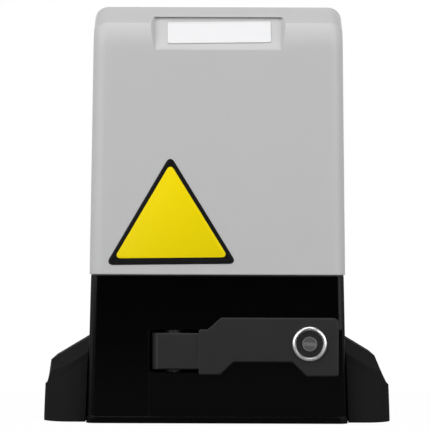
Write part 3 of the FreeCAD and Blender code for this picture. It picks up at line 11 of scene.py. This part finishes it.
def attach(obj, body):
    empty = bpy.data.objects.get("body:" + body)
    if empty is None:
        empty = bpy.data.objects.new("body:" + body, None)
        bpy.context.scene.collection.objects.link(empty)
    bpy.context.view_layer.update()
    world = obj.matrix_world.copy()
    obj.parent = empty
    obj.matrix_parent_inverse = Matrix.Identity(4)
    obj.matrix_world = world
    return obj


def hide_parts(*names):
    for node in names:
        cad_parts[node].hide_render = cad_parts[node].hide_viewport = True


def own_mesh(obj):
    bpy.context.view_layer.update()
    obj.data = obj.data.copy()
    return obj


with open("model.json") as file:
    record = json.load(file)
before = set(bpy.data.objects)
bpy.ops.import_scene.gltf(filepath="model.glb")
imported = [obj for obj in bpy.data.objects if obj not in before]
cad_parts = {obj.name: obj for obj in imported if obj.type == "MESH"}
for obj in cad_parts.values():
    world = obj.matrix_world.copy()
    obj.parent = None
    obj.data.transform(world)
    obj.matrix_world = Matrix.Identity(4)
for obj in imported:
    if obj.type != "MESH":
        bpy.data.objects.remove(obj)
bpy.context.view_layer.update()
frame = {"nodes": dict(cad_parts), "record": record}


# ---------------------------------------------------------------- small helpers for node trees
WHITE = (1, 1, 1, 1)


def new_tree(holder):
    """Empty node tree of a material or world."""
    holder.use_nodes = True
    holder.node_tree.nodes.clear()
    return holder.node_tree


def add(tree, kind, inputs=None, **settings):
    """New shader node; settings are its own properties, inputs the values of its sockets by name."""
    made = tree.nodes.new("ShaderNode" + kind)
    for name, value in settings.items():
        setattr(made, name, value)
    for name, value in (inputs or {}).items():
        made.inputs[name].default_value = value
    return made


def span(tree, source, start, end, low, high):
    """Map range that takes source from start..end to low..high."""
    made = add(tree, "MapRange", {"From Min": start, "From Max": end, "To Min": low, "To Max": high})
    tree.links.new(source, made.inputs["Value"])
    return made


def larger_of(tree, first, second):
    made = add(tree, "Math", operation="MAXIMUM")
    tree.links.new(first, made.inputs[0])
    tree.links.new(second, made.inputs[1])
    return made


def product_of(tree, first, second):
    made = add(tree, "Math", operation="MULTIPLY")
    tree.links.new(first, made.inputs[0])
    tree.links.new(second, made.inputs[1])
    return made


def blend_into(tree, share, first, second, output):
    """Mixes two shaders by share and sends them to the output node."""
    mix = add(tree, "MixShader")
    tree.links.new(share, mix.inputs[0])
    tree.links.new(first, mix.inputs[1])
    tree.links.new(second, mix.inputs[2])
    tree.links.new(mix.outputs[0], output.inputs[0])


# ---------------------------------------------------------------- camera
CAMERA_PLACE = (-0.0020, -2.083, 0.1602)
CAMERA_ROLL = -0.2              # degrees
CAMERA_LENS = 217.8             # millimetres, as is the sensor
SENSOR_WIDTH = 36.0


def studio_camera():
    data = bpy.data.cameras.new("studio_camera")
    data.sensor_width = SENSOR_WIDTH
    data.lens = CAMERA_LENS
    camera = bpy.data.objects.new("studio_camera", data)
    camera.location = CAMERA_PLACE
    camera.rotation_euler = (math.radians(90), math.radians(CAMERA_ROLL), 0)
    bpy.context.scene.collection.objects.link(camera)
    bpy.context.scene.camera = camera


# ---------------------------------------------------------------- room and backdrop
WORLD_FRONT = 0.02              # the dark room that the part faces
WORLD_BACK = 0.60               # the pale backdrop behind it, as plain light
BACKDROP_IN_GLOSS = 0.95        # the same backdrop, as polished surfaces mirror it
ABOVE_BACKDROP = 0.10           # share of either that is left above the backdrop's upper edge
FRONT_TO_BACK = (-0.30, 0.70)   # lean of a direction to the back, where the change starts and ends
UPPER_EDGE = (0.20, 0.50)       # its lean upwards, where that fading starts and ends


def studio_world():
    """White to the camera; to everything else pale behind the part and dim in front of it."""
    world = bpy.data.worlds.new("studio_world")
    bpy.context.scene.world = world
    tree = new_tree(world)
    link = tree.links.new
    output = add(tree, "OutputWorld")
    direction = add(tree, "TexCoord")
    split = add(tree, "SeparateXYZ")
    link(direction.outputs["Generated"], split.inputs[0])
    rays = add(tree, "LightPath")
    backdrop = span(tree, rays.outputs["Is Glossy Ray"], 0.0, 1.0, WORLD_BACK, BACKDROP_IN_GLOSS)
    depth = span(tree, split.outputs["Y"], *FRONT_TO_BACK, WORLD_FRONT, 1.0)
    link(backdrop.outputs[0], depth.inputs["To Max"])
    height = span(tree, split.outputs["Z"], *UPPER_EDGE, 1.0, ABOVE_BACKDROP)
    graded = product_of(tree, depth.outputs[0], height.outputs[0])
    room = add(tree, "Background", {"Color": WHITE})
    link(graded.outputs[0], room.inputs["Strength"])
    white = add(tree, "Background", {"Color": WHITE})
    seen = larger_of(tree, rays.outputs["Is Camera Ray"], rays.outputs["Is Transmission Ray"])
    blend_into(tree, seen.outputs[0], room.outputs[0], white.outputs[0], output)


# ---------------------------------------------------------------- floor
FLOOR_SIZE = 12.0
FLOOR_BELOW = 0.0003            # keeps the floor clear of the underside
FLOOR_PAPER = (0.30, 0.30, 0.30, 1)
FLOOR_GLOW = 1.03
FLOOR_GLOW_NEAR = 0.95          # share of the glow beside the part, where the shadow falls
SHADOW_REACH = (0.25, 0.80)     # from the part's middle, where that share starts and ends its rise to 1


def studio_floor():
    """Pale floor under the part: nearly white to the camera, and it keeps the part's shadow."""
    bpy.ops.object.select_all(action="DESELECT")
    bpy.ops.mesh.primitive_plane_add(size=FLOOR_SIZE, location=(0, 0, -FLOOR_BELOW))
    floor = bpy.context.object
    floor.name = "studio_floor"
    material = bpy.data.materials.new("studio_floor_white")
    tree = new_tree(material)
    link = tree.links.new
    output = add(tree, "OutputMaterial")
    paper = add(tree, "BsdfDiffuse", {"Color": FLOOR_PAPER})
    glow = add(tree, "Emission", {"Color": WHITE, "Strength": FLOOR_GLOW})
    rays = add(tree, "LightPath")
    place = add(tree, "TexCoord")
    distance = add(tree, "VectorMath", operation="LENGTH")
    link(place.outputs["Object"], distance.inputs[0])
    near = span(tree, distance.outputs["Value"], *SHADOW_REACH, FLOOR_GLOW_NEAR, 1.0)
    seen = larger_of(tree, rays.outputs["Is Camera Ray"], rays.outputs["Is Transmission Ray"])
    share = product_of(tree, seen.outputs[0], near.outputs["Result"])
    blend_into(tree, share.outputs[0], paper.outputs[0], glow.outputs[0], output)
    floor.data.materials.append(material)


# ---------------------------------------------------------------- lamps
BODY_MIDDLE = (0, 0, 0.15)
BODY_UPPER = (0, 0, 0.20)
BODY_LOWER = (0, 0, 0.12)
# name: place, aim, width and height, watts
SOFTBOXES = {
    "key_left": ((-1.7, -1.7, 1.1), BODY_MIDDLE, (2.0, 2.0), 45.5),
    "fill_right": ((1.8, -1.6, 0.9), BODY_MIDDLE, (2.0, 2.0), 39),
    "top_light": ((0.0, -0.35, 1.9), BODY_UPPER, (1.6, 1.2), 17),
    "back_fill": ((0.0, 2.4, 0.45), BODY_MIDDLE, (2.0, 1.6), 26),
    "side_wall_left": ((-1.7, -0.30, 0.45), BODY_LOWER, (1.0, 0.9), 4.0),
    "side_wall_right": ((1.7, -0.30, 0.45), BODY_LOWER, (1.0, 0.9), 2.6),
}
NOT_MIRRORED = ("back_fill",)   # the black covers mirror the backdrop alone


def softbox(name, place, aim, size, power):
    """Rectangular lamp at place, pointed at aim and unseen by the camera."""
    data = bpy.data.lights.new(name, "AREA")
    data.shape = "RECTANGLE"
    data.size, data.size_y = size
    data.energy = power
    lamp = bpy.data.objects.new(name, data)
    lamp.location = place
    lamp.rotation_euler = (Vector(aim) - Vector(place)).to_track_quat("-Z", "Y").to_euler()
    lamp.visible_camera = False
    lamp.visible_glossy = name not in NOT_MIRRORED
    bpy.context.scene.collection.objects.link(lamp)


studio_camera()
studio_world()
studio_floor()
bpy.context.scene.view_settings.view_transform = "Standard"
for lamp_name, lamp_values in SOFTBOXES.items():
    softbox(lamp_name, *lamp_values)


# ---------------------------------------------------------------- finishes
BRUSH_STRETCH = 0.03            # grain is drawn out to the inverse of this along a brushed surface
LEAST_ROUGHNESS = 0.02
EDGE_SAMPLES = 4
GRAIN_DEPTH = 0.5               # of the grain's size


def finish_material(name, colour, roughness, metallic=0.0, mottle=0.06, mottle_size=0.02, grain=0.0,
                    grain_size=0.0004, uneven=0.05, brushed=None, specular=0.5, edge=0.0004):
    """Principled surface with slow colour mottle, roughness wander and a fine grain in the bump.

    mottle_size, grain_size and edge are in metres. brushed names an axis along which the grain is
    drawn out, and edge is the radius to which sharp edges look broken.
    """
    material = bpy.data.materials.new(name)
    material.use_nodes = True
    tree = material.node_tree
    link = tree.links.new
    shader = tree.nodes["Principled BSDF"]
    shader.inputs["Metallic"].default_value = metallic
    shader.inputs["Specular IOR Level"].default_value = specular
    place = add(tree, "TexCoord")
    slow = add(tree, "TexNoise", {"Scale": 1.0 / mottle_size, "Detail": 3.0})
    link(place.outputs["Object"], slow.inputs["Vector"])
    darker = tuple(part * (1 - mottle) for part in colour) + (1,)
    lighter = tuple(min(1.0, part * (1 + mottle)) for part in colour) + (1,)
    tint = add(tree, "Mix", {"A": darker, "B": lighter}, data_type="RGBA")
    link(slow.outputs["Fac"], tint.inputs["Factor"])
    link(tint.outputs["Result"], shader.inputs["Base Color"])
    fine = add(tree, "TexNoise", {"Scale": 1.0 / grain_size, "Detail": 2.0})
    if brushed:
        scale = tuple(BRUSH_STRETCH if axis == brushed else 1 for axis in "xyz")
        stretch = add(tree, "Mapping", {"Scale": scale})
        link(place.outputs["Object"], stretch.inputs["Vector"])
        link(stretch.outputs["Vector"], fine.inputs["Vector"])
    else:
        link(place.outputs["Object"], fine.inputs["Vector"])
    wander = span(tree, (fine if brushed else slow).outputs["Fac"], 0.0, 1.0,
                  max(LEAST_ROUGHNESS, roughness - uneven), min(1.0, roughness + uneven))
    link(wander.outputs["Result"], shader.inputs["Roughness"])
    broken_edge = add(tree, "Bevel", {"Radius": edge}, samples=EDGE_SAMPLES)
    link(broken_edge.outputs["Normal"], shader.inputs["Normal"])
    if grain:
        bump = add(tree, "Bump", {"Strength": grain, "Distance": grain_size * GRAIN_DEPTH})
        link(broken_edge.outputs["Normal"], bump.inputs["Normal"])
        link(fine.outputs["Fac"], bump.inputs["Height"])
        link(bump.outputs["Normal"], shader.inputs["Normal"])
    return material


FINISHES = {
    # outside
    "body_paint": dict(colour=(0.0007, 0.0007, 0.0008), roughness=0.15, specular=0.13, uneven=0.02,
                       grain=0.03, grain_size=0.0016, edge=0.0012),
    "cover_plastic": dict(colour=(0.50, 0.50, 0.505), roughness=0.36, specular=0.28, mottle=0.012,
                          grain=0.10, grain_size=0.0005, edge=0.0016),
    "wing_plastic": dict(colour=(0.0135, 0.0135, 0.0138), roughness=0.62, specular=0.015, mottle=0.05,
                         grain=0.16, grain_size=0.0006, edge=0.0012),
    "lever_plastic": dict(colour=(0.0114, 0.0114, 0.0118), roughness=0.55, specular=0.35, mottle=0.05,
                          grain=0.25, grain_size=0.0005, edge=0.0006),
    "guard_plastic": dict(colour=(0.014, 0.014, 0.015), roughness=0.50, grain=0.18, grain_size=0.0006),
    "stainless_steel": dict(colour=(0.40, 0.40, 0.39), roughness=0.34, metallic=1.0, grain=0.04),
    # lock
    "bright_chrome": dict(colour=(0.84, 0.84, 0.85), roughness=0.34, metallic=1.0, mottle=0.01,
                          uneven=0.03, grain=0.04, edge=0.0002),
    "lock_black": dict(colour=(0.012, 0.012, 0.013), roughness=0.30, grain=0.05),
    "lock_core_metal": dict(colour=(0.16, 0.16, 0.16), roughness=0.30, metallic=0.6, grain=0.08,
                            brushed="z"),
    "shutter_steel": dict(colour=(0.32, 0.32, 0.32), roughness=0.34, metallic=0.9, mottle=0.05,
                          grain=0.08, brushed="x", edge=0.0001),
    # plate and sign
    "plate_white": dict(colour=(0.68, 0.68, 0.69), roughness=0.34, specular=0.30, mottle=0.006,
                        grain=0.03, grain_size=0.0008, edge=0.0002),
    "sign_black": dict(colour=(0.0030, 0.0030, 0.0036), roughness=0.38, specular=0.25, grain=0.04,
                       grain_size=0.0008, edge=0.0001),
    "sign_yellow": dict(colour=(0.83, 0.655, 0.0), roughness=0.42, specular=0.12, mottle=0.02,
                        mottle_size=0.03, grain=0.04, grain_size=0.0008, edge=0.0001),
    # gearbox, motor and drive
    "raw_casting": dict(colour=(0.52, 0.53, 0.54), roughness=0.45, metallic=1.0, grain=0.35,
                        grain_size=0.0009),
    "zinc_steel": dict(colour=(0.60, 0.60, 0.57), roughness=0.30, metallic=1.0, grain=0.05),
    "bearing_steel": dict(colour=(0.58, 0.58, 0.59), roughness=0.20, metallic=1.0, grain=0.03),
    "ground_steel": dict(colour=(0.52, 0.52, 0.53), roughness=0.25, metallic=1.0, grain=0.06,
                         brushed="y"),
    "spring_steel": dict(colour=(0.40, 0.40, 0.41), roughness=0.28, metallic=1.0, grain=0.04),
    "bronze": dict(colour=(0.60, 0.36, 0.13), roughness=0.32, metallic=1.0, mottle=0.08, grain=0.08),
    "lamination_steel": dict(colour=(0.20, 0.20, 0.21), roughness=0.45, metallic=0.8, grain=0.30,
                             grain_size=0.0005, brushed="x"),
    "enamelled_copper": dict(colour=(0.50, 0.17, 0.05), roughness=0.30, metallic=0.7, grain=0.5,
                             grain_size=0.0008, brushed="x"),
    "seal_rubber": dict(colour=(0.010, 0.010, 0.010), roughness=0.72, grain=0.20),
    "gasket_paper": dict(colour=(0.30, 0.20, 0.10), roughness=0.85, mottle=0.15, grain=0.3,
                         grain_size=0.0005),
    # under the cover
    "inner_plastic": dict(colour=(0.05, 0.05, 0.055), roughness=0.50, grain=0.15, grain_size=0.0006),
    "board_laminate": dict(colour=(0.010, 0.14, 0.05), roughness=0.30, mottle=0.10, grain=0.05),
    "terminal_green": dict(colour=(0.02, 0.28, 0.09), roughness=0.45, grain=0.08),
    "relay_black": dict(colour=(0.018, 0.018, 0.018), roughness=0.40, grain=0.08),
    "fuse_glass": dict(colour=(0.68, 0.70, 0.68), roughness=0.12),
    "button_red": dict(colour=(0.48, 0.02, 0.02), roughness=0.40),
    "trimmer_blue": dict(colour=(0.03, 0.12, 0.48), roughness=0.40),
    "coil_tape": dict(colour=(0.62, 0.50, 0.10), roughness=0.45, grain=0.10),
    "capacitor_white": dict(colour=(0.72, 0.72, 0.70), roughness=0.35, grain=0.04),
}
materials = {name: finish_material(name, **values) for name, values in FINISHES.items()}


def dress_cad_nodes():
    """Every CAD node takes the finish of its slot in the record."""
    slots = {part["node"]: part["material_slot"] for part in frame["record"]["subparts"]}
    for name, part in frame["nodes"].items():
        part.data.materials.clear()
        part.data.materials.append(materials[slots[name]])


dress_cad_nodes()


# ---------------------------------------------------------------- modelling by hand
SMOOTH_UP_TO = 35.0             # degrees between faces that shade as one surface
ALONG, ACROSS = 0.99, 0.01      # cosines from and up to which a direction counts as such


def start_piece(primitive, **settings):
    """Adds a primitive on its own and opens it in edit mode; it keeps its turn until it is closed."""
    bpy.ops.object.select_all(action="DESELECT")
    primitive(**settings)
    bpy.ops.object.transform_apply(location=False, rotation=False, scale=True)
    bpy.ops.object.mode_set(mode="EDIT")
    return bpy.context.object


def choose(piece, kind, test):
    """In edit mode, selects only those faces or edges of piece that pass test."""
    bpy.ops.mesh.select_mode(type=kind)
    bpy.ops.mesh.select_all(action="DESELECT")
    mesh = bmesh.from_edit_mesh(piece.data)
    for item in (mesh.faces if kind == "FACE" else mesh.edges):
        item.select_set(test(item))
    mesh.select_flush_mode()
    bmesh.update_edit_mesh(piece.data)


def on_top(face):
    """Face that looks along the piece's own Z."""
    return face.normal.z > ALONG


def on_side(face):
    """Face that looks across the piece's own Z."""
    return abs(face.normal.z) < ACROSS


def upright(edge):
    """Edge that runs along the piece's own Z."""
    run = edge.verts[1].co - edge.verts[0].co
    return abs(run.z) > ALONG * run.length


def top_rim(edge):
    """Edge between a top face and a side."""
    return any(map(on_top, edge.link_faces)) and any(map(on_side, edge.link_faces))


def round_off(piece, test, offset, segments=2):
    """Bevels the edges of piece that pass test."""
    choose(piece, "EDGE", test)
    bpy.ops.mesh.bevel(offset=offset, segments=segments, affect="EDGES")


def draw_out(height):
    """Extrudes what is selected along the piece's own Z; a height below 0 sinks it."""
    bpy.ops.mesh.extrude_region_move(
        TRANSFORM_OT_translate={"value": (0, 0, height), "orient_type": "LOCAL"})


def close_piece(name, material, body):
    """Leaves edit mode, keeps the place in the mesh, adds the finish and puts the piece on body."""
    bpy.ops.object.mode_set(mode="OBJECT")
    piece = bpy.context.object
    piece.name = name
    bpy.ops.object.transform_apply(location=True, rotation=True, scale=True)
    bpy.ops.object.shade_smooth_by_angle(angle=math.radians(SMOOTH_UP_TO))
    piece.data.materials.clear()
    piece.data.materials.append(materials[material])
    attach(piece, body)


def lying(place, tilt, turn, lift):
    """Place and turn of a thin piece on a face: tilted back about X, then turned in its own plane."""
    turned = (Matrix.Rotation(math.radians(tilt), 3, "X")
              @ Matrix.Rotation(math.radians(turn), 3, "Z"))
    return place + turned @ Vector((0, 0, lift)), turned.to_euler()


# ---------------------------------------------------------------- return spring of the clutch
SAME_POINT = 0.000001


def return_spring():
    """The clutch's return spring, merged into one skin."""
    bpy.ops.object.select_all(action="DESELECT")
    skin = frame["nodes"]["clutch_spring"].data.copy()
    piece = bpy.data.objects.new("return_spring", skin)
    bpy.context.scene.collection.objects.link(piece)
    piece.select_set(True)
    bpy.context.view_layer.objects.active = piece
    bpy.ops.mesh.customdata_custom_splitnormals_clear()
    bpy.ops.object.mode_set(mode="EDIT")
    bpy.ops.mesh.select_all(action="SELECT")
    bpy.ops.mesh.remove_doubles(threshold=SAME_POINT)
    close_piece("return_spring", "spring_steel", "output_train")
    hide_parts("clutch_spring")
    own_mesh(piece)


# ---------------------------------------------------------------- blank name plate
PLATE_ON_FLOOR = Vector((0.0008, -0.0705, 0.3010))      # middle of the plate, on the recess's floor
RECESS_TILT = 55.0              # degrees, the recess's floor out of level
PLATE_TURN = 1.0                # degrees, as stuck on by hand
PLATE_WIDTH, PLATE_HEIGHT, PLATE_THICK = 0.0800, 0.0206, 0.0009
PLATE_CORNER = 0.0018
PLATE_RIM = 0.00018
PLATE_GAP = 0.00004             # between plate and floor
PLATE_LINE = 0.0007             # from the plate's edge to its fine step
PLATE_STEP = 0.00012            # width and depth of that step


def name_plate():
    """White plate with rounded corners, a broken rim and a fine step just inside it."""
    middle, turned = lying(PLATE_ON_FLOOR, RECESS_TILT, PLATE_TURN, PLATE_GAP + PLATE_THICK / 2)
    piece = start_piece(bpy.ops.mesh.primitive_cube_add, size=1, location=middle, rotation=turned,
                        scale=(PLATE_WIDTH, PLATE_HEIGHT, PLATE_THICK))
    round_off(piece, upright, PLATE_CORNER, segments=8)
    round_off(piece, top_rim, PLATE_RIM, segments=3)
    choose(piece, "FACE", on_top)
    bpy.ops.mesh.inset(thickness=PLATE_LINE)
    bpy.ops.mesh.inset(thickness=PLATE_STEP, depth=-PLATE_STEP)
    close_piece("name_plate", "plate_white", "base")


# ---------------------------------------------------------------- blank three-cornered sign
SIGN_MIDDLE = (-0.03589, 0.15015)       # along the gate, and up
SIGN_WIDTH, SIGN_HEIGHT = 0.1011, 0.0842        # to the sharp corners
SIGN_TURN = 0.73                # degrees
SIGN_CORNER = 0.0060            # how far each corner's round reaches along a side
SIGN_THICK = 0.00030
SIGN_BED = 0.00014              # depth of the bed for the face
SIGN_GAP = 0.00003              # between sign and cover
SIGN_RIM = 0.00005
BORDER_SIDE, BORDER_FOOT = 0.0033, 0.0051
SIGN_FACE_CORNER = 0.0050
SIGN_FACE_PROUD = 0.00004       # how far the face stands out of the border
SIGN_FACE_RIM = 0.00004
# depth and height of two points up the cover's front
FRONT_LOW, FRONT_HIGH = (-0.08333, 0.1216), (-0.08148, 0.2034)
FRONT_RUN, FRONT_RISE = FRONT_HIGH[0] - FRONT_LOW[0], FRONT_HIGH[1] - FRONT_LOW[1]
COVER_LEAN = math.degrees(math.atan2(FRONT_RUN, FRONT_RISE))


def three_cornered(width, height, thick, lift, corner, shift=0.0):
    """Flat three-cornered piece on the cover's front with rounded corners, open in edit mode.

    shift moves it up in its own plane.
    """
    side, up = SIGN_MIDDLE
    depth = FRONT_LOW[0] + (up - FRONT_LOW[1]) / FRONT_RISE * FRONT_RUN
    middle, turned = lying(Vector((side, depth, up)), 90.0 - COVER_LEAN, SIGN_TURN, lift + thick / 2)
    middle = middle + turned.to_matrix() @ Vector((0, shift, 0))
    piece = start_piece(bpy.ops.mesh.primitive_cylinder_add, vertices=3, radius=1, depth=1,
                        location=middle, rotation=turned,
                        scale=(width / math.sqrt(3), height / 1.5, thick))
    round_off(piece, upright, corner, segments=10)
    return piece


def sign_border():
    """Black back of the sign; its bed is sunk into the top face that the inset leaves many-sided."""
    piece = three_cornered(SIGN_WIDTH, SIGN_HEIGHT, SIGN_THICK, SIGN_GAP, SIGN_CORNER)
    choose(piece, "FACE", on_top)
    bpy.ops.mesh.inset(thickness=BORDER_SIDE)
    choose(piece, "FACE", lambda face: on_top(face) and len(face.verts) > 4)
    draw_out(-SIGN_BED)
    round_off(piece, top_rim, SIGN_RIM)
    close_piece("sign_border", "sign_black", "base")


def sign_face():
    """Plain yellow face of the sign, set higher in the border so that its foot is the widest."""
    wider_foot = BORDER_FOOT - BORDER_SIDE
    width = SIGN_WIDTH - 2 * math.sqrt(3) * BORDER_SIDE - wider_foot * 2 / math.sqrt(3)
    height = SIGN_HEIGHT - 2 * BORDER_SIDE - BORDER_FOOT
    lift = SIGN_GAP + SIGN_THICK - SIGN_BED + SIGN_FACE_PROUD
    piece = three_cornered(width, height, SIGN_BED, lift, SIGN_FACE_CORNER, wider_foot * 2 / 3)
    round_off(piece, top_rim, SIGN_FACE_RIM)
    close_piece("sign_face", "sign_yellow", "base")


# ---------------------------------------------------------------- face of the lock's core
CORE_FACE = Vector((0.0709, -0.0895, 0.0615))   # middle of the core's face
FACING_OUT = (math.radians(90), 0, 0)           # turns a piece's own Z out of the front
CORE_RIM_OUTER, CORE_RIM_INNER = 0.0055, 0.0048
CORE_RIM_THICK = 0.0003
CORE_RIM_LIFT = 0.00018         # middle of the rim's thickness, in front of the face
CORE_RIM_EDGE = 0.00008
SHARP_FROM = 1.0                # radians between the two faces of an edge
SHUTTER_WIDTH, SHUTTER_HEIGHT, SHUTTER_THICK = 0.0090, 0.0030, 0.0003
SHUTTER_BACK = 0.00043          # behind the core's face, in a bed 0.5 mm deep
LIP_HALF = 0.00020              # half the lip's height
LIP_PROUD = 0.00022
LIP_EDGE = 0.00006


def front_edge(edge):
    """Sharp edge on the front of a piece."""
    return edge.calc_face_angle(0) > SHARP_FROM and edge.verts[0].co.z > 0


def core_rim():
    """Thin bright rim that stands out of the core's face."""
    piece = start_piece(bpy.ops.mesh.primitive_cylinder_add, vertices=96, radius=CORE_RIM_OUTER,
                        depth=CORE_RIM_THICK, location=CORE_FACE - Vector((0, CORE_RIM_LIFT, 0)),
                        rotation=FACING_OUT)
    choose(piece, "FACE", lambda face: abs(face.normal.z) > ALONG)
    bpy.ops.mesh.inset(thickness=CORE_RIM_OUTER - CORE_RIM_INNER, use_individual=True)
    bpy.ops.mesh.bridge_edge_loops()
    round_off(piece, front_edge, CORE_RIM_EDGE)
    close_piece("core_rim", "shutter_steel", "lock_core")


def key_shutter():
    """Sprung shutter over the keyway: two leaves that meet at a rolled lip."""
    depth = SHUTTER_BACK - SHUTTER_THICK / 2
    piece = start_piece(bpy.ops.mesh.primitive_cube_add, size=1,
                        location=CORE_FACE + Vector((0, depth, 0)), rotation=FACING_OUT,
                        scale=(SHUTTER_WIDTH, SHUTTER_HEIGHT, SHUTTER_THICK))
    for height in (-LIP_HALF, LIP_HALF):
        bpy.ops.mesh.select_all(action="SELECT")
        bpy.ops.mesh.bisect(plane_co=piece.location + Vector((0, 0, height)), plane_no=(0, 0, 1))
    choose(piece, "FACE", lambda face: on_top(face)
           and abs(face.calc_center_median().y) < LIP_HALF / 2)
    draw_out(LIP_PROUD)
    round_off(piece, top_rim, LIP_EDGE)
    close_piece("key_shutter", "shutter_steel", "lock_core")


return_spring()
name_plate()
sign_border()
sign_face()
core_rim()
key_shutter()
